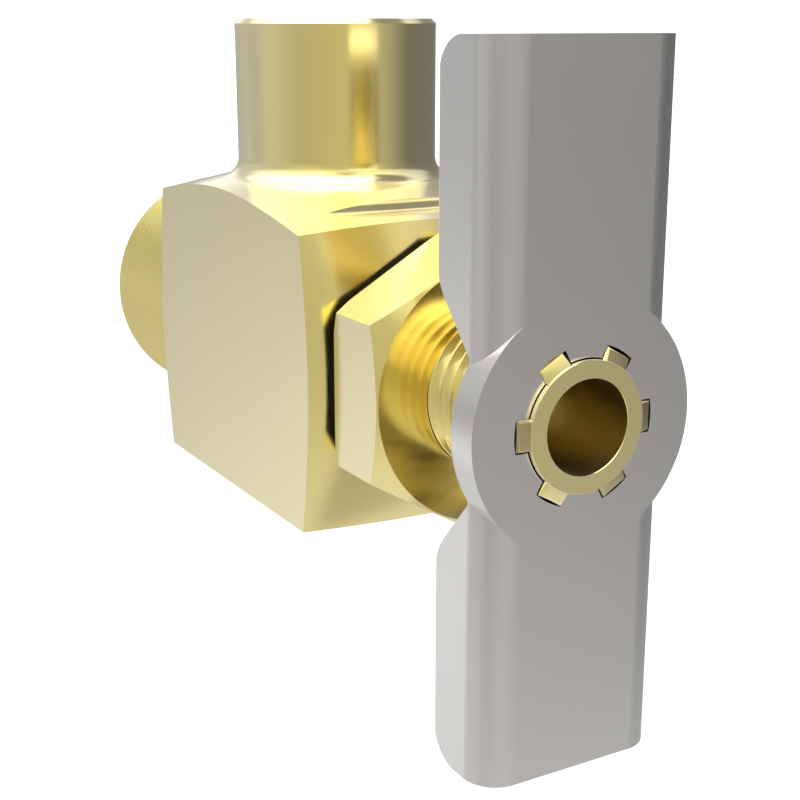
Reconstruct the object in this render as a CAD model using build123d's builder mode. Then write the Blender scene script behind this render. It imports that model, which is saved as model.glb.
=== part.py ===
from build123d import *
import os
from math import cos, radians, tan

os.makedirs("parts", exist_ok=True)

# Angle drain cock, in millimetres. The inlet's axis is Y and the outlet's axis is Z,
# and the origin is where they cross. +Z is up the outlet, +Y is out of the threaded
# inlet and -Y is towards the handle. It is modelled shut.

# Clearances
running_clearance = 0.07
seating_clearance = 0.05
shut_gap = 0.3

# Forged body: a bar along Y with a raised boss under the outlet
body_width = 21.6
body_height = 22.66
boss_length = 23.8
boss_root_radius = 1.1
turned_slope = 14.0
top_shoulder = 12.4
front_shoulder = 16.02
rear_shoulder = 12.51
gasket_seat_radius = 9.4
collar_radius = 10.74
collar_reach = 12.96

# Inlet: tapered male pipe thread
inlet_reach = 26.0
inlet_end_radius = 9.8
inlet_taper = 1 / 32
inlet_chamfer = 0.2
inlet_bore_radius = 7.2

# Outlet: plain upright spigot
outlet_radius = 7.94
outlet_top = 25.0
outlet_chamfer = 0.36
outlet_root_radius = 1.6
outlet_bore_radius = 5.9
outlet_bore_floor = 4.5

# Valve seat, cut in the wall between the inlet and the chamber
seat_y = 6.0
seat_lip = 1.6
seat_wall = 2.2
seat_bore_radius = 4.2
seat_lip_width = 1.0
chamber_radius = 7.8

# Bonnet: hexagon bush screwed into the front of the body
gasket_thickness = 1.21
gasket_radius = 9.4
hexagon_across_flats = 19.05
hexagon_length = 6.14
hexagon_face_radius = 9.4
hexagon_rear_radius = 10.2
hexagon_turning_radius = 11.5
hexagon_chamfer_angle = 30.0
shank_radius = 8.3
shank_length = 8.58
shank_chamfer = 0.5
smooth_bore_length = 6.6

# Stem: screw that carries the washer at one end and the handle at the other
thread_radius = 5.556
thread_start_gap = 0.4
exposed_thread = 7.68
land_radius = 4.63
land_overrun = 0.2
groove_radius = 3.27
groove_width = 1.9
groove_from_land_end = 1.7
o_ring_sides = 6
spindle_radius = 3.4
spindle_end_gap = 0.7
neck_radius = 2.2
button_radius = 3.1
button_length = 1.86
tube_radius = 4.4
tube_bore_radius = 3.17
tube_bore_depth = 14.5
drill_point_angle = 59.0
tube_proud = 0.42

# Swaged lugs that key the stem to the handle
lug_count = 6
lug_width = 2.1
lug_radius = 5.3
lug_proud = 0.22
lug_edge_chamfer = 0.35

# Swivel disc holder, rubber washer and its screw
holder_radius = 6.2
holder_lip = 1.0
holder_floor = 1.8
holder_rim = 1.7
holder_edge_chamfer = 0.4
washer_radius = 5.4
washer_thickness = 3.2
screw_radius = 1.25
screw_hole_depth = 1.4
screw_head_radius = 2.4
screw_head_height = 1.3
screw_slot_width = 0.6
screw_slot_depth = 0.6

# Wing handle: die-cast, with a round hub and two tall wings
hub_radius = 8.5
hub_thickness = 2.33
wing_width = 14.46
wing_depth = 6.19
wing_reach = 24.1
wing_front_radius = 2.4
wing_rear_radius = 0.2
wing_tip_radius = 2.6
wing_root_z = 9.05
wing_root_radius = 4.0
wing_root_angle = 48.0
shoulder_clearance = 0.3

half_width = body_width / 2
half_height = body_height / 2
slope = tan(radians(turned_slope))
turning_radius = body_width + body_height


def top_cone(radius):
    """Height of the turned top at a distance from the outlet's axis."""
    return top_shoulder - slope * (radius - half_width)


def front_cone(radius):
    """Y of the turned front end at a distance from the inlet's axis."""
    return slope * (radius - half_width) - front_shoulder


def rear_cone(radius):
    """Y of the turned rear end at a distance from the inlet's axis."""
    return rear_shoulder - slope * (radius - half_width)


# Places along Y, worked out from the sizes above
gasket_y = front_cone(gasket_seat_radius)
hexagon_rear_y = gasket_y - gasket_thickness
hexagon_front_y = hexagon_rear_y - hexagon_length
bonnet_rear_y = hexagon_rear_y + shank_length
bore_step_y = bonnet_rear_y - smooth_bore_length
hub_rear_y = hexagon_front_y - exposed_thread
hub_front_y = hub_rear_y - hub_thickness
stem_front_y = hub_front_y - tube_proud
wing_rear_y = hub_front_y + wing_depth
thread_end_y = bore_step_y - thread_start_gap
land_end_y = bonnet_rear_y - land_overrun
groove_y = land_end_y - groove_from_land_end
washer_rear_y = seat_y - shut_gap
washer_front_y = washer_rear_y - washer_thickness
cavity_rear_y = washer_front_y - holder_floor
cavity_front_y = cavity_rear_y - button_length - 2 * running_clearance
holder_front_y = cavity_front_y - holder_lip
spindle_end_y = holder_front_y - spindle_end_gap
button_rear_y = cavity_rear_y - running_clearance
button_front_y = cavity_front_y + running_clearance

# Radii that fit one another
thread_bore_radius = thread_radius + running_clearance
smooth_bore_radius = land_radius + running_clearance
mouth_radius = shank_radius + seating_clearance
hub_bore_radius = tube_radius + running_clearance
notch_radius = lug_radius + running_clearance
notch_width = lug_width + 2 * running_clearance
washer_cup_radius = washer_radius + seating_clearance
screw_hole_radius = screw_radius + seating_clearance
holder_mouth_radius = neck_radius + running_clearance
cavity_radius = button_radius + running_clearance


# Body, one brass forging turned about both of its axes
with BuildPart() as body:
    with BuildSketch(Plane.YZ) as side_view:
        with BuildLine():
            Polyline(
                (gasket_y, -half_height),
                (rear_cone(0), -half_height),
                (rear_cone(0), half_height),
                (boss_length / 2, half_height),
                (boss_length / 2, top_cone(0)),
                (-boss_length / 2, top_cone(0)),
                (-boss_length / 2, half_height),
                (gasket_y, half_height),
                close=True,
            )
        make_face()
        shoulder = side_view.vertices().filter_by_position(Axis.Y, half_height, half_height)
        fillet(shoulder.sort_by(Axis.X)[1:3], boss_root_radius)
    extrude(amount=half_width, both=True)

    # The top is turned about the outlet's axis to a shallow cone
    with BuildSketch(Plane.XZ):
        with BuildLine():
            Polyline(
                (0, -half_height),
                (turning_radius, -half_height),
                (turning_radius, top_cone(turning_radius)),
                (0, top_cone(0)),
                close=True,
            )
        make_face()
    revolve(axis=Axis.Z, mode=Mode.INTERSECT)

    # Both ends are turned about the inlet's axis, with a flat under the gasket
    with BuildSketch(Plane.XY):
        with BuildLine():
            Polyline(
                (0, gasket_y),
                (gasket_seat_radius, gasket_y),
                (turning_radius, front_cone(turning_radius)),
                (turning_radius, rear_cone(turning_radius)),
                (0, rear_cone(0)),
                close=True,
            )
        make_face()
    revolve(axis=Axis.Y, mode=Mode.INTERSECT)

    # Collar and tapered inlet spigot
    with BuildSketch(Plane.XY):
        with BuildLine():
            Polyline(
                (0, seat_y),
                (outlet_radius, seat_y),
                (outlet_radius, rear_cone(collar_radius)),
                (collar_radius, rear_cone(collar_radius)),
                (collar_radius, collar_reach),
                (inlet_end_radius + inlet_taper * (inlet_reach - collar_reach), collar_reach),
                (inlet_end_radius + inlet_taper * inlet_chamfer, inlet_reach - inlet_chamfer),
                (inlet_end_radius - inlet_chamfer, inlet_reach),
                (0, inlet_reach),
                close=True,
            )
        make_face()
    revolve(axis=Axis.Y)

    # Outlet spigot, blended into the turned top by an arc that touches both
    root_run = outlet_root_radius / tan(radians(45 + turned_slope / 2))
    root_top = top_cone(outlet_radius) + root_run
    blend_radius = outlet_radius + root_run * cos(radians(turned_slope))
    with BuildSketch(Plane.XZ):
        with BuildLine():
            Polyline(
                (outlet_radius, root_top),
                (outlet_radius, outlet_top - outlet_chamfer),
                (outlet_radius - outlet_chamfer, outlet_top),
                (0, outlet_top),
                (0, 0),
                (blend_radius, 0),
                (blend_radius, top_cone(blend_radius)),
            )
            RadiusArc((blend_radius, top_cone(blend_radius)), (outlet_radius, root_top), outlet_root_radius)
        make_face()
    revolve(axis=Axis.Z)

    # Waterway along the inlet's axis: bonnet mouth, chamber, seat and inlet bore
    with BuildSketch(Plane.XY):
        with BuildLine():
            Polyline(
                (0, gasket_y),
                (mouth_radius, gasket_y),
                (mouth_radius, bonnet_rear_y),
                (chamber_radius, bonnet_rear_y),
                (chamber_radius, seat_y + seat_lip),
                (seat_bore_radius + seat_lip_width, seat_y + seat_lip),
                (seat_bore_radius + seat_lip_width, seat_y),
                (seat_bore_radius, seat_y),
                (seat_bore_radius, seat_y + seat_lip + seat_wall),
                (inlet_bore_radius, seat_y + seat_lip + seat_wall),
                (inlet_bore_radius, inlet_reach),
                (0, inlet_reach),
                close=True,
            )
        make_face()
    revolve(axis=Axis.Y, mode=Mode.SUBTRACT)

    # Outlet bore, down into the chamber
    with BuildSketch(Plane.XY.offset(outlet_bore_floor)):
        Circle(outlet_bore_radius)
    extrude(amount=outlet_top - outlet_bore_floor, mode=Mode.SUBTRACT)

body.part.label = "body"
export_step(body.part, "parts/body.step")


# Flat gasket between the body and the hexagon
with BuildPart() as bonnet_gasket:
    with BuildSketch(Plane.XZ.offset(-gasket_y)):
        Circle(gasket_radius)
        Circle(mouth_radius, mode=Mode.SUBTRACT)
    extrude(amount=gasket_thickness)

bonnet_gasket.part.label = "bonnet_gasket"
export_step(bonnet_gasket.part, "parts/bonnet_gasket.step")


# Bonnet, a hexagon bush with a screwed shank
with BuildPart() as bonnet:
    with BuildSketch(Plane.XZ.offset(-hexagon_rear_y)):
        RegularPolygon(hexagon_across_flats / 2, 6, major_radius=False, rotation=30)
    extrude(amount=hexagon_length)

    # The corners are turned off at both ends, to a flat round face in front
    chamfer_slope = tan(radians(hexagon_chamfer_angle))
    front_rise = (hexagon_turning_radius - hexagon_face_radius) * chamfer_slope
    rear_rise = (hexagon_turning_radius - hexagon_rear_radius) * chamfer_slope
    with BuildSketch(Plane.XY):
        with BuildLine():
            Polyline(
                (0, hexagon_rear_y),
                (hexagon_rear_radius, hexagon_rear_y),
                (hexagon_turning_radius, hexagon_rear_y - rear_rise),
                (hexagon_turning_radius, hexagon_front_y + front_rise),
                (hexagon_face_radius, hexagon_front_y),
                (0, hexagon_front_y),
                close=True,
            )
        make_face()
    revolve(axis=Axis.Y, mode=Mode.INTERSECT)

    with BuildSketch(Plane.XZ.offset(-bonnet_rear_y)):
        Circle(shank_radius)
    extrude(amount=shank_length)
    chamfer(bonnet.faces().sort_by(Axis.Y)[-1].edges(), shank_chamfer)

    with BuildSketch(Plane.XZ.offset(-bonnet_rear_y)):
        Circle(smooth_bore_radius)
    extrude(amount=smooth_bore_length, mode=Mode.SUBTRACT)
    with BuildSketch(Plane.XZ.offset(-bore_step_y)):
        Circle(thread_bore_radius)
    extrude(amount=bore_step_y - hexagon_front_y, mode=Mode.SUBTRACT)

bonnet.part.label = "bonnet"
export_step(bonnet.part, "parts/bonnet.step")


# Stem, turned from bar, with its front end drilled out for swaging
with BuildPart() as stem:
    with BuildSketch(Plane.XY):
        with BuildLine():
            Polyline(
                (0, button_rear_y),
                (button_radius, button_rear_y),
                (button_radius, button_front_y),
                (neck_radius, button_front_y),
                (neck_radius, spindle_end_y),
                (spindle_radius, spindle_end_y),
                (spindle_radius, land_end_y),
                (land_radius, land_end_y),
                (land_radius, groove_y + groove_width / 2),
                (groove_radius, groove_y + groove_width / 2),
                (groove_radius, groove_y - groove_width / 2),
                (land_radius, groove_y - groove_width / 2),
                (land_radius, thread_end_y),
                (thread_radius, thread_end_y),
                (thread_radius, hub_rear_y),
                (tube_radius, hub_rear_y),
                (tube_radius, stem_front_y),
                (0, stem_front_y),
                close=True,
            )
        make_face()
    revolve(axis=Axis.Y)

    # Six lugs stand in the notches of the hub, their ends spread over its face
    with BuildSketch(Plane.XZ.offset(-hub_rear_y)):
        with PolarLocations(0, lug_count):
            Rectangle(lug_radius, lug_width, align=(Align.MIN, Align.CENTER))
        Circle(lug_radius, mode=Mode.INTERSECT)
    extrude(amount=hub_thickness + lug_proud)
    lug_fronts = stem.faces().filter_by_position(
        Axis.Y, hub_front_y - lug_proud - lug_edge_chamfer, hub_front_y - lug_proud / 2
    )
    chamfer(lug_fronts.edges().filter_by(GeomType.CIRCLE).group_by(SortBy.RADIUS)[-1], lug_edge_chamfer)

    # Blind bore of the tubular end, with a drill point
    with BuildSketch(Plane.XY):
        with BuildLine():
            Polyline(
                (0, stem_front_y),
                (tube_bore_radius, stem_front_y),
                (tube_bore_radius, stem_front_y + tube_bore_depth),
                (0, stem_front_y + tube_bore_depth + tube_bore_radius / tan(radians(drill_point_angle))),
                close=True,
            )
        make_face()
    revolve(axis=Axis.Y, mode=Mode.SUBTRACT)

stem.part.label = "stem"
export_step(stem.part, "parts/stem.step")


# O-ring in the stem's groove, running in the bonnet's smooth bore
with BuildPart() as stem_o_ring:
    with BuildSketch(Plane.XY):
        with Locations(((smooth_bore_radius + groove_radius) / 2, groove_y)):
            RegularPolygon((smooth_bore_radius - groove_radius) / 2 - seating_clearance, o_ring_sides)
    revolve(axis=Axis.Y)

stem_o_ring.part.label = "stem_o_ring"
export_step(stem_o_ring.part, "parts/stem_o_ring.step")


# Disc holder, a cup that swivels on the stem's button
with BuildPart() as disc_holder:
    with BuildSketch(Plane.XY):
        with BuildLine():
            Polyline(
                (holder_mouth_radius, holder_front_y),
                (holder_radius, holder_front_y),
                (holder_radius, washer_front_y + holder_rim),
                (washer_cup_radius, washer_front_y + holder_rim),
                (washer_cup_radius, washer_front_y),
                (screw_hole_radius, washer_front_y),
                (screw_hole_radius, washer_front_y - screw_hole_depth),
                (0, washer_front_y - screw_hole_depth),
                (0, cavity_rear_y),
                (cavity_radius, cavity_rear_y),
                (cavity_radius, cavity_front_y),
                (holder_mouth_radius, cavity_front_y),
                close=True,
            )
        make_face()
    revolve(axis=Axis.Y)
    front_edges = disc_holder.faces().sort_by(Axis.Y)[0].edges()
    chamfer(front_edges.sort_by(SortBy.RADIUS)[-1], holder_edge_chamfer)

disc_holder.part.label = "disc_holder"
export_step(disc_holder.part, "parts/disc_holder.step")


# Rubber seat washer in the holder's cup
with BuildPart() as seat_washer:
    with BuildSketch(Plane.XZ.offset(-washer_rear_y)):
        Circle(washer_radius)
        Circle(screw_hole_radius, mode=Mode.SUBTRACT)
    extrude(amount=washer_thickness)

seat_washer.part.label = "seat_washer"
export_step(seat_washer.part, "parts/seat_washer.step")


# Slotted screw that holds the washer
with BuildPart() as washer_screw:
    with BuildSketch(Plane.XZ.offset(-washer_rear_y)):
        Circle(screw_radius)
    extrude(amount=washer_thickness + screw_hole_depth)
    with BuildSketch(Plane.XZ.offset(-washer_rear_y)):
        Circle(screw_head_radius)
    extrude(amount=-screw_head_height)
    with BuildSketch(Plane.XZ.offset(-washer_rear_y - screw_head_height)):
        Rectangle(2 * screw_head_radius, screw_slot_width)
    extrude(amount=screw_slot_depth, mode=Mode.SUBTRACT)

washer_screw.part.label = "washer_screw"
export_step(washer_screw.part, "parts/washer_screw.step")


# Wing handle, one die casting: two wings with a round hub between them
with BuildPart() as handle:
    root_fall = (wing_rear_y - hub_rear_y) * tan(radians(wing_root_angle))
    with BuildSketch(Plane.YZ) as wing_view:
        with BuildLine():
            Polyline(
                (hub_front_y, 0),
                (hub_front_y, wing_reach),
                (wing_rear_y, wing_reach),
                (wing_rear_y, wing_root_z),
                (hub_rear_y, wing_root_z - root_fall),
                (hub_rear_y, 0),
                close=True,
            )
        make_face()
        rear_corners = wing_view.vertices().filter_by_position(Axis.X, wing_rear_y, wing_rear_y)
        fillet(rear_corners.sort_by(Axis.Y)[-1], wing_tip_radius)
        rear_corners = wing_view.vertices().filter_by_position(Axis.X, wing_rear_y, wing_rear_y)
        fillet(rear_corners.sort_by(Axis.Y)[0], wing_root_radius)
        mirror(about=Plane.XZ)
    extrude(amount=wing_width / 2, both=True)

    # The wings' long edges are rounded, most of all in front
    with BuildSketch(Plane.XY.offset(-wing_reach)) as plan_view:
        with Locations((0, hub_front_y)):
            Rectangle(wing_width, wing_depth, align=(Align.CENTER, Align.MIN))
        fillet(plan_view.vertices().group_by(Axis.Y)[0], wing_front_radius)
        fillet(plan_view.vertices().group_by(Axis.Y)[-1], wing_rear_radius)
    extrude(amount=2 * wing_reach, mode=Mode.INTERSECT)

    with BuildSketch(Plane.XZ.offset(-hub_rear_y)):
        Circle(hub_radius)
    extrude(amount=hub_thickness)

    # Round relief between the wing roots for the stem's threaded shoulder
    with BuildSketch(Plane.XZ.offset(-hub_rear_y)):
        Circle(thread_radius + shoulder_clearance)
    extrude(amount=hub_rear_y - wing_rear_y, mode=Mode.SUBTRACT)

    # Hole for the stem's tube, with a notch for each lug
    with BuildSketch(Plane.XZ.offset(-hub_rear_y)):
        with PolarLocations(0, lug_count):
            Rectangle(notch_radius, notch_width, align=(Align.MIN, Align.CENTER))
        Circle(notch_radius, mode=Mode.INTERSECT)
        Circle(hub_bore_radius)
    extrude(amount=hub_thickness, mode=Mode.SUBTRACT)

handle.part.label = "handle"
export_step(handle.part, "parts/handle.step")
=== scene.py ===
import math

import bmesh
import bpy
from mathutils import Matrix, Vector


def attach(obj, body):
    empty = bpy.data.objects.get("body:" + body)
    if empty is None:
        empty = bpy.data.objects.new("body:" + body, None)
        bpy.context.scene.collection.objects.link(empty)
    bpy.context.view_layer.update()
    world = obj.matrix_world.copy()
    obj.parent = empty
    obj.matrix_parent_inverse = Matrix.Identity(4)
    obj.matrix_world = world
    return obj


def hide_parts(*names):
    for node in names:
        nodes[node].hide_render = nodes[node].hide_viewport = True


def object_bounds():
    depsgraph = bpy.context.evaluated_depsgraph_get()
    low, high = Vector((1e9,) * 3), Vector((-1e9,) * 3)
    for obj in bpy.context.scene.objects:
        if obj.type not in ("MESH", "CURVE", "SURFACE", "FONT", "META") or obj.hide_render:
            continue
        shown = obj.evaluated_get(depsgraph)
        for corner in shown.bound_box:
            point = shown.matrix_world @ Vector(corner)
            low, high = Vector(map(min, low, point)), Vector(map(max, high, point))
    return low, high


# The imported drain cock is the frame. X is across the body, -Y points to the
# handle, +Y out of the threaded inlet and +Z up the outlet, all in metres.
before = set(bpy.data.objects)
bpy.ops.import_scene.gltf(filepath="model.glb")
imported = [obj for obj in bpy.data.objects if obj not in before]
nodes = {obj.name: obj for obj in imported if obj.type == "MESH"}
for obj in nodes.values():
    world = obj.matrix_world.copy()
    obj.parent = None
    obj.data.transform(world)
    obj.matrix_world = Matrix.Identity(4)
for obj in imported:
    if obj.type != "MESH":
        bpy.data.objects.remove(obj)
cad_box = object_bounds()
scene = bpy.context.scene
MM = 0.001

# The camera stands to the left of the handle and a little above it, close
# enough for the wings to look much larger than the body behind them.
CAMERA_PLACE = (-0.05242, -0.10155, 0.02478)
CAMERA_DIP = 15.19
CAMERA_TURN = 29.86
camera_data = bpy.data.cameras.new("camera")
camera_data.lens = 62.72
camera_data.sensor_width = 36
camera_data.clip_start = 0.001
camera = bpy.data.objects.new("camera", camera_data)
camera.location = CAMERA_PLACE
camera.rotation_euler = (math.radians(90 - CAMERA_DIP), 0, math.radians(-CAMERA_TURN))
scene.collection.objects.link(camera)
scene.camera = camera
scene.view_settings.view_transform = "Standard"

# A white photographic tent surrounds the part. A softbox fills most of its roof,
# a dark screen stands on the right, and the table throws light up from below.
world = bpy.data.worlds.new("tent")
world.use_nodes = True
scene.world = world
tent = world.node_tree
tent.nodes.clear()


def calc(tree, operation, *terms, clamp=False):
    """The result of a Math node whose terms are numbers or sockets."""
    node = tree.nodes.new("ShaderNodeMath")
    node.operation = operation
    node.use_clamp = clamp
    for socket, term in zip(node.inputs, terms):
        if isinstance(term, (int, float)):
            socket.default_value = term
        else:
            tree.links.new(term, socket)
    return node.outputs[0]


def graph(tree, source, stops):
    """A curve through (place, level) stops, as a ramp of greys."""
    node = tree.nodes.new("ShaderNodeValToRGB")
    elements = node.color_ramp.elements
    elements.remove(elements[1])
    elements[0].position, level = stops[0]
    elements[0].color = (level, level, level, 1)
    for place, level in stops[1:]:
        elements.new(place).color = (level, level, level, 1)
    tree.links.new(source, node.inputs[0])
    return node.outputs[0]


def span(tree, source, low, high):
    """0 at low, 1 at high and smooth between them."""
    node = tree.nodes.new("ShaderNodeMapRange")
    node.interpolation_type = "SMOOTHSTEP"
    node.inputs["From Min"].default_value = low
    node.inputs["From Max"].default_value = high
    tree.links.new(source, node.inputs["Value"])
    return node.outputs[0]


def blend(tree, share, first, second):
    """first where share is 0, second where it is 1."""
    rise = calc(tree, "SUBTRACT", second, first)
    return calc(tree, "MULTIPLY_ADD", share, rise, first)


def glow(tree, direction, azimuth, elevation, sharpness):
    """A soft round patch of light, 1 at its middle; azimuth 0 is behind the part."""
    side, tip = math.radians(azimuth), math.radians(elevation)
    node = tree.nodes.new("ShaderNodeVectorMath")
    node.operation = "DOT_PRODUCT"
    tree.links.new(direction, node.inputs[0])
    node.inputs[1].default_value = (
        math.cos(tip) * math.sin(side),
        math.cos(tip) * math.cos(side),
        math.sin(tip),
    )
    return calc(tree, "POWER", calc(tree, "MAXIMUM", node.outputs["Value"], 0), sharpness)


tent_place = tent.nodes.new("ShaderNodeTexCoord")
towards = tent_place.outputs["Generated"]
tent_axes = tent.nodes.new("ShaderNodeSeparateXYZ")
tent.links.new(towards, tent_axes.inputs[0])
to_x, to_y, to_z = tent_axes.outputs

# The walls are read round the tent: 0 and 1 are in front, 0.25 is on the left,
# 0.5 is behind and 0.75 on the right. At eye level they are less even than above.
round_tent = calc(tent, "MULTIPLY_ADD", calc(tent, "ARCTAN2", to_x, to_y), 1 / math.tau, 0.5)
EYE_LEVEL = (
    (0.0, 0.6),
    (0.07, 0.61),
    (0.13, 0.55),
    (0.19, 0.5),
    (0.25, 0.6),
    (0.31, 0.63),
    (0.375, 0.48),
    (0.44, 0.52),
    (0.5, 0.48),
    (0.56, 0.39),
    (0.61, 0.25),
    (0.66, 0.19),
    (0.83, 0.18),
    (0.88, 0.34),
    (0.92, 0.47),
    (1.0, 0.6),
)
UPPER_WALL = (
    (0.0, 0.63),
    (0.45, 0.63),
    (0.5, 0.53),
    (0.56, 0.42),
    (0.61, 0.3),
    (0.67, 0.2),
    (0.8, 0.2),
    (0.86, 0.3),
    (0.93, 0.58),
    (1.0, 0.63),
)
ROOF_RISE = 0.2
FRONT_LEFT_LEVEL = 0.22
eye_level = graph(tent, round_tent, EYE_LEVEL)
upper_wall = graph(tent, round_tent, UPPER_WALL)
light = blend(tent, span(tent, to_z, 0.0, 0.14), eye_level, upper_wall)
light = calc(tent, "MULTIPLY_ADD", span(tent, to_z, 0.3, 1.0), ROOF_RISE, light)
front_left_lamp = glow(tent, towards, -120, 28, 20)
light = calc(tent, "MULTIPLY_ADD", front_left_lamp, FRONT_LEFT_LEVEL, light)

# Below eye level the white table takes over from the walls. It glares on the
# left, and a lamp behind stands just above its far edge.
TABLE_LEVEL = 0.86
GLARE_LEVEL = 0.38
REAR_LEVEL = 0.8
TABLE_SHARE = ((0.1, 0.0), (0.26, 0.07), (0.42, 0.3), (0.6, 0.75), (0.77, 1.0))
table_share = graph(tent, calc(tent, "MULTIPLY", to_z, -1), TABLE_SHARE)
light = blend(tent, table_share, light, TABLE_LEVEL)
table_glare = glow(tent, towards, -32, -21, 45)
light = calc(tent, "MULTIPLY_ADD", table_glare, GLARE_LEVEL, light)
rear_lamp = calc(tent, "MULTIPLY", glow(tent, towards, 14, 13, 34), span(tent, to_z, 0.04, 0.18))
light = calc(tent, "MULTIPLY_ADD", rear_lamp, REAR_LEVEL, light)

# The softbox grows brighter to its middle overhead, is weaker on the right, and
# hangs lower in front and on the left than behind. A ramp holds 1 at most, so
# its levels are a quarter of the light.
RAMP_SCALE = 4
SOFTBOX_HEIGHTS = ((0.4, 1.0), (0.57, 1.25), (0.68, 1.6), (0.8, 2.1), (0.93, 3.2), (1.0, 3.5))
SOFTBOX_SIDES = ((0.6, 1.0), (0.68, 0.6), (0.8, 0.65), (0.9, 0.85), (1.0, 1.0))
SOFTBOX_LOW = ((0.38, 1.0), (0.45, 0.0), (0.66, 0.0), (0.72, 1.0))
softbox = graph(tent, to_z, [(height, level / RAMP_SCALE) for height, level in SOFTBOX_HEIGHTS])
softbox = calc(tent, "MULTIPLY", softbox, RAMP_SCALE)
softbox = calc(tent, "MULTIPLY", softbox, graph(tent, round_tent, SOFTBOX_SIDES))
softbox_share = calc(tent, "MULTIPLY", span(tent, to_z, 0.36, 0.44), graph(tent, round_tent, SOFTBOX_LOW))
softbox_share = calc(tent, "MAXIMUM", softbox_share, span(tent, to_z, 0.48, 0.57))
light = blend(tent, softbox_share, light, softbox)

# The dark screen covers the softbox on the right, and a small flag shades the
# part of it in front that the hexagon would mirror.
SCREEN_LEVEL = 0.28
FLAG_DEPTH = 1.45
LEAST_LEVEL = 0.1
screen = span(tent, calc(tent, "MULTIPLY_ADD", to_z, -0.35, to_x), -0.05, 0.07)
screen = calc(tent, "MULTIPLY", screen, span(tent, to_z, 0.68, 0.76))
light = blend(tent, screen, light, SCREEN_LEVEL)
front_flag = glow(tent, towards, -165, 51, 40)
light = calc(tent, "MULTIPLY_ADD", front_flag, -FLAG_DEPTH, light)
light = calc(tent, "MAXIMUM", light, LEAST_LEVEL)

# Light that has bounced between faces comes back a little stronger from above,
# and the camera itself sees a plain white backdrop.
BOUNCE_GAIN = 0.6
tent_rays = tent.nodes.new("ShaderNodeLightPath")
bounced = calc(tent, "MULTIPLY", span(tent, tent_rays.outputs["Ray Depth"], 2, 3), span(tent, to_z, 0.0, 0.1))
light = calc(tent, "MULTIPLY_ADD", bounced, BOUNCE_GAIN, light)
tent_light = tent.nodes.new("ShaderNodeBackground")
tent.links.new(light, tent_light.inputs["Color"])
tent_backdrop = tent.nodes.new("ShaderNodeBackground")
tent_backdrop.inputs["Color"].default_value = (1, 1, 1, 1)
tent_mix = tent.nodes.new("ShaderNodeMixShader")
tent.links.new(tent_rays.outputs["Is Camera Ray"], tent_mix.inputs[0])
tent.links.new(tent_light.outputs[0], tent_mix.inputs[1])
tent.links.new(tent_backdrop.outputs[0], tent_mix.inputs[2])
tent_out = tent.nodes.new("ShaderNodeOutputWorld")
tent.links.new(tent_mix.outputs[0], tent_out.inputs[0])

# The pale table lies just under the lower wing, far wider than the view, and
# mirrors in nothing: the tent's own table light stands in for it.
TABLE_HALF = 8
TABLE_GAP = 0.1 * MM
floor_mesh = bpy.data.meshes.new("floor")
shape = bmesh.new()
bmesh.ops.create_grid(shape, x_segments=1, y_segments=1, size=TABLE_HALF)
bmesh.ops.translate(shape, verts=shape.verts, vec=(0, 0, cad_box[0][2] - TABLE_GAP))
shape.to_mesh(floor_mesh)
shape.free()
floor = bpy.data.objects.new("floor", floor_mesh)
scene.collection.objects.link(floor)
floor.visible_glossy = False
floor_paint = bpy.data.materials.new("pale_table")
floor_paint.use_nodes = True
floor_shader = floor_paint.node_tree.nodes["Principled BSDF"]
floor_shader.inputs["Base Color"].default_value = (0.35, 0.35, 0.35, 1)
floor_shader.inputs["Roughness"].default_value = 0.8
floor_shader.inputs["Emission Color"].default_value = (1, 1, 1, 1)
floor_shader.inputs["Emission Strength"].default_value = 0.9
floor_mesh.materials.append(floor_paint)

# Body: one hot forging in yellow brass, its faces linished and the ends turned.
# Linishing leaves a barely visible grain, and handling leaves faint cloudy
# patches, so colour, roughness and relief all vary a little over it.
HANDLED_TINT = (0.55, 0.45, 0.3, 1)
GRAIN_DEPTH = 0.02 * MM
grain = bpy.data.node_groups.new("metal_grain", "ShaderNodeTree")
for label, kind, usual in (
    ("Color", "NodeSocketColor", None),
    ("Clouding", "NodeSocketFloat", 0.06),
    ("Cloud Scale", "NodeSocketFloat", 140.0),
    ("Roughness", "NodeSocketFloat", 0.15),
    ("Roughness Spread", "NodeSocketFloat", 0.04),
    ("Grain Scale", "NodeSocketFloat", 2500.0),
    ("Stretch", "NodeSocketVector", None),
    ("Relief", "NodeSocketFloat", 0.02),
):
    socket = grain.interface.new_socket(label, in_out="INPUT", socket_type=kind)
    if usual is not None:
        socket.default_value = usual
for label, kind in (
    ("Color", "NodeSocketColor"),
    ("Roughness", "NodeSocketFloat"),
    ("Normal", "NodeSocketVector"),
):
    grain.interface.new_socket(label, in_out="OUTPUT", socket_type=kind)
grain_in = grain.nodes.new("NodeGroupInput")
grain_out = grain.nodes.new("NodeGroupOutput")
grain_place = grain.nodes.new("ShaderNodeTexCoord")

# Soft clouds darken the colour and spread the roughness.
clouds = grain.nodes.new("ShaderNodeTexNoise")
clouds.inputs["Detail"].default_value = 3
grain.links.new(grain_place.outputs["Object"], clouds.inputs["Vector"])
grain.links.new(grain_in.outputs["Cloud Scale"], clouds.inputs["Scale"])
cloud_share = grain.nodes.new("ShaderNodeMapRange")
cloud_share.inputs["From Min"].default_value = 0.3
cloud_share.inputs["From Max"].default_value = 0.7
cloud_share.inputs["To Max"].default_value = 0.0
grain.links.new(clouds.outputs[0], cloud_share.inputs["Value"])
grain.links.new(grain_in.outputs["Clouding"], cloud_share.inputs["To Min"])
cloud_tint = grain.nodes.new("ShaderNodeMix")
cloud_tint.data_type = "RGBA"
cloud_tint.blend_type = "MULTIPLY"
grain.links.new(cloud_share.outputs[0], cloud_tint.inputs["Factor"])
grain.links.new(grain_in.outputs["Color"], cloud_tint.inputs["A"])
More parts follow.
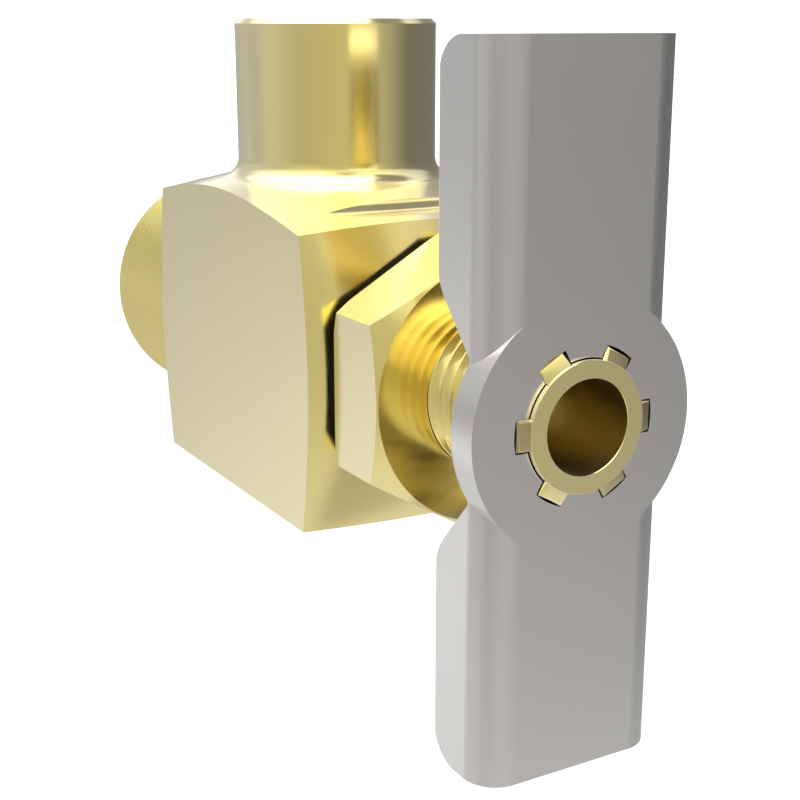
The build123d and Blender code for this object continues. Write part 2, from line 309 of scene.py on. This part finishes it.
cloud_tint.inputs["B"].default_value = HANDLED_TINT
grain.links.new(cloud_tint.outputs["Result"], grain_out.inputs["Color"])
cloud_swing = calc(grain, "SUBTRACT", clouds.outputs[0], 0.5)
grain_roughness = calc(
    grain,
    "MULTIPLY_ADD",
    cloud_swing,
    grain_in.outputs["Roughness Spread"],
    grain_in.outputs["Roughness"],
)
grain.links.new(grain_roughness, grain_out.inputs["Roughness"])

# Fine scratches raise the surface. Stretch squeezes them along an axis, which
# makes rings of them where a drill or a lathe turned about it.
stretched = grain.nodes.new("ShaderNodeVectorMath")
stretched.operation = "MULTIPLY"
grain.links.new(grain_place.outputs["Object"], stretched.inputs[0])
grain.links.new(grain_in.outputs["Stretch"], stretched.inputs[1])
scratches = grain.nodes.new("ShaderNodeTexNoise")
scratches.inputs["Detail"].default_value = 2
grain.links.new(stretched.outputs[0], scratches.inputs["Vector"])
grain.links.new(grain_in.outputs["Grain Scale"], scratches.inputs["Scale"])
grain_bump = grain.nodes.new("ShaderNodeBump")
grain_bump.inputs["Distance"].default_value = GRAIN_DEPTH
grain.links.new(scratches.outputs[0], grain_bump.inputs["Height"])
grain.links.new(grain_in.outputs["Relief"], grain_bump.inputs["Strength"])
grain.links.new(grain_bump.outputs[0], grain_out.inputs["Normal"])


def lay_grain(material, settings):
    """Put the grain on a material's shader, and give back its clouded colour."""
    tree = material.node_tree
    shader = tree.nodes["Principled BSDF"]
    group = tree.nodes.new("ShaderNodeGroup")
    group.node_tree = grain
    for label, value in settings.items():
        group.inputs[label].default_value = value
    tree.links.new(group.outputs["Roughness"], shader.inputs["Roughness"])
    tree.links.new(group.outputs["Normal"], shader.inputs["Normal"])
    return group.outputs["Color"]


def metal(name, color, roughness, gloss, relief=0.03, stretch=(1, 1, 1), painted_shade=None):
    """A bright metal whose polish turns white where it is seen from the side.

    A painted shade is the axis that it spreads along, where on it the shade
    starts and where it is full, its colour, and the share of the polish that it takes.
    """
    material = bpy.data.materials.new(name)
    material.use_nodes = True
    tree = material.node_tree
    shader = tree.nodes["Principled BSDF"]
    shader.inputs["Metallic"].default_value = 1
    shader.inputs["Coat Roughness"].default_value = roughness
    shader.inputs["Coat IOR"].default_value = 4.0
    facing = tree.nodes.new("ShaderNodeLayerWeight")
    facing.inputs["Blend"].default_value = 0.5
    polish = calc(tree, "MULTIPLY", facing.outputs["Facing"], gloss, clamp=True)
    settings = {"Color": (*color, 1), "Roughness": roughness, "Stretch": stretch, "Relief": relief}
    shade = lay_grain(material, settings)
    # Painted shade: darkens the colour and takes polish away along one axis.
    if painted_shade is not None:
        axis, start, full, shade_color, dulling = painted_shade
        place = tree.nodes.new("ShaderNodeTexCoord")
        axes = tree.nodes.new("ShaderNodeSeparateXYZ")
        tree.links.new(place.outputs["Object"], axes.inputs[0])
        spread = span(tree, axes.outputs[axis], start, full)
        shade_mix = tree.nodes.new("ShaderNodeMix")
        shade_mix.data_type = "RGBA"
        shade_mix.inputs["B"].default_value = (*shade_color, 1)
        tree.links.new(spread, shade_mix.inputs["Factor"])
        tree.links.new(shade, shade_mix.inputs["A"])
        shade = shade_mix.outputs["Result"]
        polish = calc(tree, "MULTIPLY", polish, calc(tree, "MULTIPLY_ADD", spread, -dulling, 1))
    tree.links.new(polish, shader.inputs["Coat Weight"])
    tree.links.new(shade, shader.inputs["Base Color"])
    return material


def dress(name, material):
    """Give a CAD node's own mesh a material."""
    nodes[name].data.materials.clear()
    nodes[name].data.materials.append(material)


YELLOW_BRASS = (0.9, 0.757, 0.257)
forged_brass = metal("forged_brass", YELLOW_BRASS, 0.17, 2.25)
dress("body", forged_brass)

# Inlet thread: the tapered pipe thread cut on the rear spigot with a die. Its
# fine ridges run once round in each pitch and stop short of the spigot's end,
# and painted shade darkens their upper side.
PIPE_PITCH = 1.03 * MM
PIPE_RIDGE = 0.47 * MM
PIPE_SUNK = 0.03 * MM
PIPE_END = 26.0 * MM
PIPE_CHAMFER = 0.2 * MM
PIPE_START = 13.2 * MM
PIPE_RADIUS = 9.8 * MM
PIPE_TAPER = 1 / 32
PIPE_STEPS = 96


def wind_thread(profile, pitch, turns, steps):
    """A (radius, y) profile swept round Y, one pitch further along at each turn."""
    bm = bmesh.new()
    points = [bm.verts.new((radius, y, 0)) for radius, y in profile]
    edges = [bm.edges.new(pair) for pair in zip(points, points[1:])]
    bmesh.ops.spin(
        bm,
        geom=points + edges,
        cent=(0, 0, 0),
        axis=(0, 1, 0),
        dvec=(0, pitch / steps, 0),
        angle=math.tau * turns,
        steps=steps * turns,
    )
    bmesh.ops.remove_doubles(bm, verts=bm.verts, dist=0.001 * MM)
    return bm


def make_piece(bm, name, materials, sharp_degrees=None):
    """A smooth-shaded piece from a bmesh, with only its sharp edges kept crisp."""
    bmesh.ops.recalc_face_normals(bm, faces=bm.faces)
    mesh = bpy.data.meshes.new(name)
    bm.to_mesh(mesh)
    bm.free()
    for face in mesh.polygons:
        face.use_smooth = True
    if sharp_degrees is not None:
        mesh.set_sharp_from_angle(angle=math.radians(sharp_degrees))
    for material in materials:
        mesh.materials.append(material)
    piece = bpy.data.objects.new(name, mesh)
    scene.collection.objects.link(piece)
    return piece


pipe_profile = [
    (PIPE_RADIUS + rise, PIPE_START + share * PIPE_PITCH)
    for share, rise in (
        (0, -PIPE_SUNK),
        (0.08, 0),
        (0.42, PIPE_RIDGE),
        (0.58, PIPE_RIDGE),
        (0.92, 0),
        (1, -PIPE_SUNK),
    )
]
pipe_turns = int((PIPE_END - PIPE_START) / PIPE_PITCH)
bm = wind_thread(pipe_profile, PIPE_PITCH, pipe_turns, PIPE_STEPS)
for vert in bm.verts:
    taper = 1 + (PIPE_END - vert.co.y) * PIPE_TAPER / PIPE_RADIUS
    vert.co.x *= taper
    vert.co.z *= taper
bmesh.ops.bisect_plane(
    bm,
    geom=bm.verts[:] + bm.edges[:] + bm.faces[:],
    dist=0,
    plane_co=(0, PIPE_END - PIPE_CHAMFER, 0),
    plane_no=(0, 1, 0),
    clear_outer=True,
)
# Painted shade: the thread is darker from 0.5 mm to 6 mm above the axis.
painted_top_shade = ("Z", 0.5 * MM, 6 * MM, (0.45, 0.385, 0.1), 0)
cut_brass = metal("cut_brass", (0.92, 0.785, 0.3), 0.5, 0.5, relief=0.05, painted_shade=painted_top_shade)
pipe_thread = make_piece(bm, "inlet_thread", [cut_brass])
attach(pipe_thread, "valve_body")


# Gasket: a stamped fibre ring squeezed between the body and the hexagon, dull
# and a little mottled, and coloured almost black as painted shade for the gap.
def matt(name, color, clouding, cloud_scale, roughness, relief, specular=0.5):
    """A dull, slightly mottled stuff that isn't metal."""
    material = bpy.data.materials.new(name)
    material.use_nodes = True
    tree = material.node_tree
    shader = tree.nodes["Principled BSDF"]
    shader.inputs["Specular IOR Level"].default_value = specular
    settings = {
        "Color": (*color, 1),
        "Clouding": clouding,
        "Cloud Scale": cloud_scale,
        "Roughness": roughness,
        "Stretch": (1, 1, 1),
        "Relief": relief,
    }
    tree.links.new(lay_grain(material, settings), shader.inputs["Base Color"])
    return material


# Its near-black colour and faint gloss are painted shade in the gap under the hexagon.
fibre = matt("gasket_fibre", (0.005, 0.0035, 0.0015), 0.5, 900, 0.7, 0.6, specular=0.05)
dress("bonnet_gasket", fibre)

# Bonnet: a hexagon bush turned from brass bar, a little brighter than the
# forging. Painted shade blackens the recess between its hexagon and the gasket.
painted_recess_shade = ("Y", -17.75 * MM, -17.6 * MM, (0.012, 0.009, 0.004), 1)
bar_brass = metal("bar_brass", YELLOW_BRASS, 0.16, 2.1, painted_shade=painted_recess_shade)
dress("bonnet", bar_brass)

# Stem: a screw turned from brass bar, with a swivel button inside, a groove for
# the O-ring, a long 7/16 inch thread in the bonnet and a drilled tube at its
# outer end that holds the handle.
BUTTON_FACE = -3.16 * MM
BUTTON_BACK = -5.02 * MM
BUTTON_RADIUS = 3.1 * MM
NECK_END = -6.79 * MM
NECK_RADIUS = 2.2 * MM
NOSE_END = -9.2 * MM
NOSE_RADIUS = 3.4 * MM
GROOVE_REAR = -9.95 * MM
GROOVE_FRONT = -11.85 * MM
GROOVE_RADIUS = 3.27 * MM
SHANK_END = -15.98 * MM
SHANK_RADIUS = 4.63 * MM
CORE_RADIUS = 4.76 * MM
HUB_SEAT = -31.4 * MM
TUBE_RADIUS = 4.4 * MM
TUBE_END = -34.15 * MM
TUBE_BORE = 3.17 * MM
BORE_LIP = 0.05 * MM
BORE_END = -19.65 * MM
DRILL_TIP = -17.75 * MM
EDGE_BREAK = 0.03 * MM
CORE_STEPS = 96
core_profile = (
    (0, BUTTON_FACE),
    (BUTTON_RADIUS, BUTTON_FACE),
    (BUTTON_RADIUS, BUTTON_BACK),
    (NECK_RADIUS, BUTTON_BACK),
    (NECK_RADIUS, NECK_END),
    (NOSE_RADIUS, NECK_END),
    (NOSE_RADIUS, NOSE_END),
    (SHANK_RADIUS, NOSE_END),
    (SHANK_RADIUS, GROOVE_REAR),
    (GROOVE_RADIUS, GROOVE_REAR),
    (GROOVE_RADIUS, GROOVE_FRONT),
    (SHANK_RADIUS, GROOVE_FRONT),
    (SHANK_RADIUS, SHANK_END),
    (CORE_RADIUS, SHANK_END),
    (CORE_RADIUS, HUB_SEAT),
    (TUBE_RADIUS, HUB_SEAT),
    (TUBE_RADIUS, TUBE_END + EDGE_BREAK),
    (TUBE_RADIUS - EDGE_BREAK, TUBE_END),
    (TUBE_BORE + EDGE_BREAK, TUBE_END),
    (TUBE_BORE, TUBE_END + BORE_LIP),
    (TUBE_BORE, BORE_END),
    (0, DRILL_TIP),
)
bm = bmesh.new()
points = [bm.verts.new((radius, y, 0)) for radius, y in core_profile]
edges = [bm.edges.new(pair) for pair in zip(points, points[1:])]
bmesh.ops.spin(
    bm,
    geom=points + edges,
    cent=(0, 0, 0),
    axis=(0, 1, 0),
    angle=math.tau,
    steps=CORE_STEPS,
    use_merge=True,
)
bmesh.ops.remove_doubles(bm, verts=bm.verts, dist=0.0005 * MM)
stem_brass = metal("stem_brass", YELLOW_BRASS, 0.15, 2.1)
# The bore's darker colour is painted shade inside the deep hole.
drilled_and_shaded_brass = metal("drilled_and_shaded_brass", (0.72, 0.61, 0.3), 0.3, 0.3, relief=0.12, stretch=(1, 60, 1))
stem_core = make_piece(bm, "stem_core", [stem_brass, drilled_and_shaded_brass], sharp_degrees=30)
# The drill leaves the bore rougher than the turned outside, and painted shade makes it darker.
for face in stem_core.data.polygons:
    radius = math.hypot(face.center.x, face.center.z)
    if radius <= TUBE_BORE and TUBE_END + BORE_LIP < face.center.y < DRILL_TIP:
        face.material_index = 1
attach(stem_core, "stem_and_handle")
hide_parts("stem")

# Stem thread: right-handed ridges with narrow rounded crests, cut proud of the
# stem's core from the shank to the hub.
STEM_PITCH = 1.27 * MM
STEM_CREST = 5.6 * MM
STEM_ROOT = 4.8 * MM
THREAD_FRONT = -31.39 * MM
THREAD_REAR = -15.99 * MM
THREAD_STEPS = 72
stem_profile = [
    (radius, THREAD_FRONT + share * STEM_PITCH)
    for share, radius in (
        (0, STEM_ROOT - 0.05 * MM),
        (0.1, STEM_ROOT),
        (0.2, STEM_ROOT + 0.04 * MM),
        (0.42, STEM_CREST - 0.1 * MM),
        (0.46, STEM_CREST - 0.02 * MM),
        (0.5, STEM_CREST),
        (0.54, STEM_CREST - 0.02 * MM),
        (0.58, STEM_CREST - 0.1 * MM),
        (0.8, STEM_ROOT + 0.04 * MM),
        (0.9, STEM_ROOT),
        (1, STEM_ROOT - 0.05 * MM),
    )
]
stem_turns = int((THREAD_REAR - THREAD_FRONT) / STEM_PITCH)
bm = wind_thread(stem_profile, STEM_PITCH, stem_turns, THREAD_STEPS)
stem_thread = make_piece(bm, "stem_thread", [stem_brass])
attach(stem_thread, "stem_and_handle")

# Lugs: six tabs milled on the stem's shoulder, pushed through the notches of
# the hub and spread outwards over it with a punch. Each ends up a little
# different, and the struck ones are duller.
LUG_WIDTH = 2.1 * MM
LUG_OUT = 5.25 * MM
LUG_IN = 4.2 * MM
LUG_FRONT = -34.06 * MM
LUG_REAR = -31.42 * MM
LUG_ROUNDING = 0.22 * MM
LUG_MIDDLE_X = (LUG_OUT + LUG_IN) / 2
LUG_MIDDLE_Y = (LUG_REAR + LUG_FRONT) / 2
struck_brass = metal("struck_brass", (0.5, 0.42, 0.2), 0.3, 0.7, relief=0.1)
# For each lug, from the right one clockwise: how far its outer end is curled
# back, how far it sits to one side, and its finish.
LUGS = (
    (0.26 * MM, 0, struck_brass),
    (0.2 * MM, 0, struck_brass),
    (0.16 * MM, 0.03 * MM, stem_brass),
    (0.1 * MM, -0.05 * MM, struck_brass),
    (0.42 * MM, 0.05 * MM, stem_brass),
    (0.36 * MM, 0, stem_brass),
)
for number, (curl, shift, lug_brass) in enumerate(LUGS):
    bm = bmesh.new()
    bmesh.ops.create_cube(bm, size=1)
    bmesh.ops.scale(bm, vec=(LUG_OUT - LUG_IN, LUG_REAR - LUG_FRONT, LUG_WIDTH), verts=bm.verts)
    bmesh.ops.translate(bm, vec=(LUG_MIDDLE_X, LUG_MIDDLE_Y, shift), verts=bm.verts)
    front = [vert for vert in bm.verts if vert.co.y < LUG_MIDDLE_Y]
    outer = [vert for vert in front if vert.co.x > LUG_MIDDLE_X]
    for vert in outer:
        vert.co.y += curl
    rounded = [
        edge
        for edge in bm.edges
        if all(vert in front for vert in edge.verts) and any(vert in outer for vert in edge.verts)
    ]
    bmesh.ops.bevel(
        bm,
        geom=rounded,
        offset=LUG_ROUNDING,
        affect="EDGES",
        segments=4,
        profile=0.5,
        material=-1,
    )
    lug_turn = Matrix.Rotation(math.tau * number / len(LUGS), 3, "Y")
    bmesh.ops.rotate(bm, verts=bm.verts, cent=(0, 0, 0), matrix=lug_turn)
    lug = make_piece(bm, f"lug_{number + 1}", [lug_brass], sharp_degrees=40)
    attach(lug, "stem_and_handle")

# Disc holder and its screw: small turned brass parts inside the chamber, where
# water has dulled them.
wet_brass = metal("wet_brass", (0.7, 0.55, 0.2), 0.3, 0.5, relief=0.1)
for name in ("disc_holder", "washer_screw"):
    dress(name, wet_brass)

# Seals: the O-ring on the stem and the flat washer that shuts the seat, both
# moulded in black rubber with a soft sheen.
rubber = matt("seal_rubber", (0.03, 0.03, 0.03), 0.3, 140, 0.55, 0.3)
for name in ("stem_o_ring", "seat_washer"):
    dress(name, rubber)

# Handle: two wings and a hub in one zinc die casting, barrelled and clear
# lacquered to a smooth satin grey.
cast_grey = metal("cast_grey", (0.64, 0.61, 0.58), 0.22, 2.1, relief=0.05)
dress("handle", cast_grey)
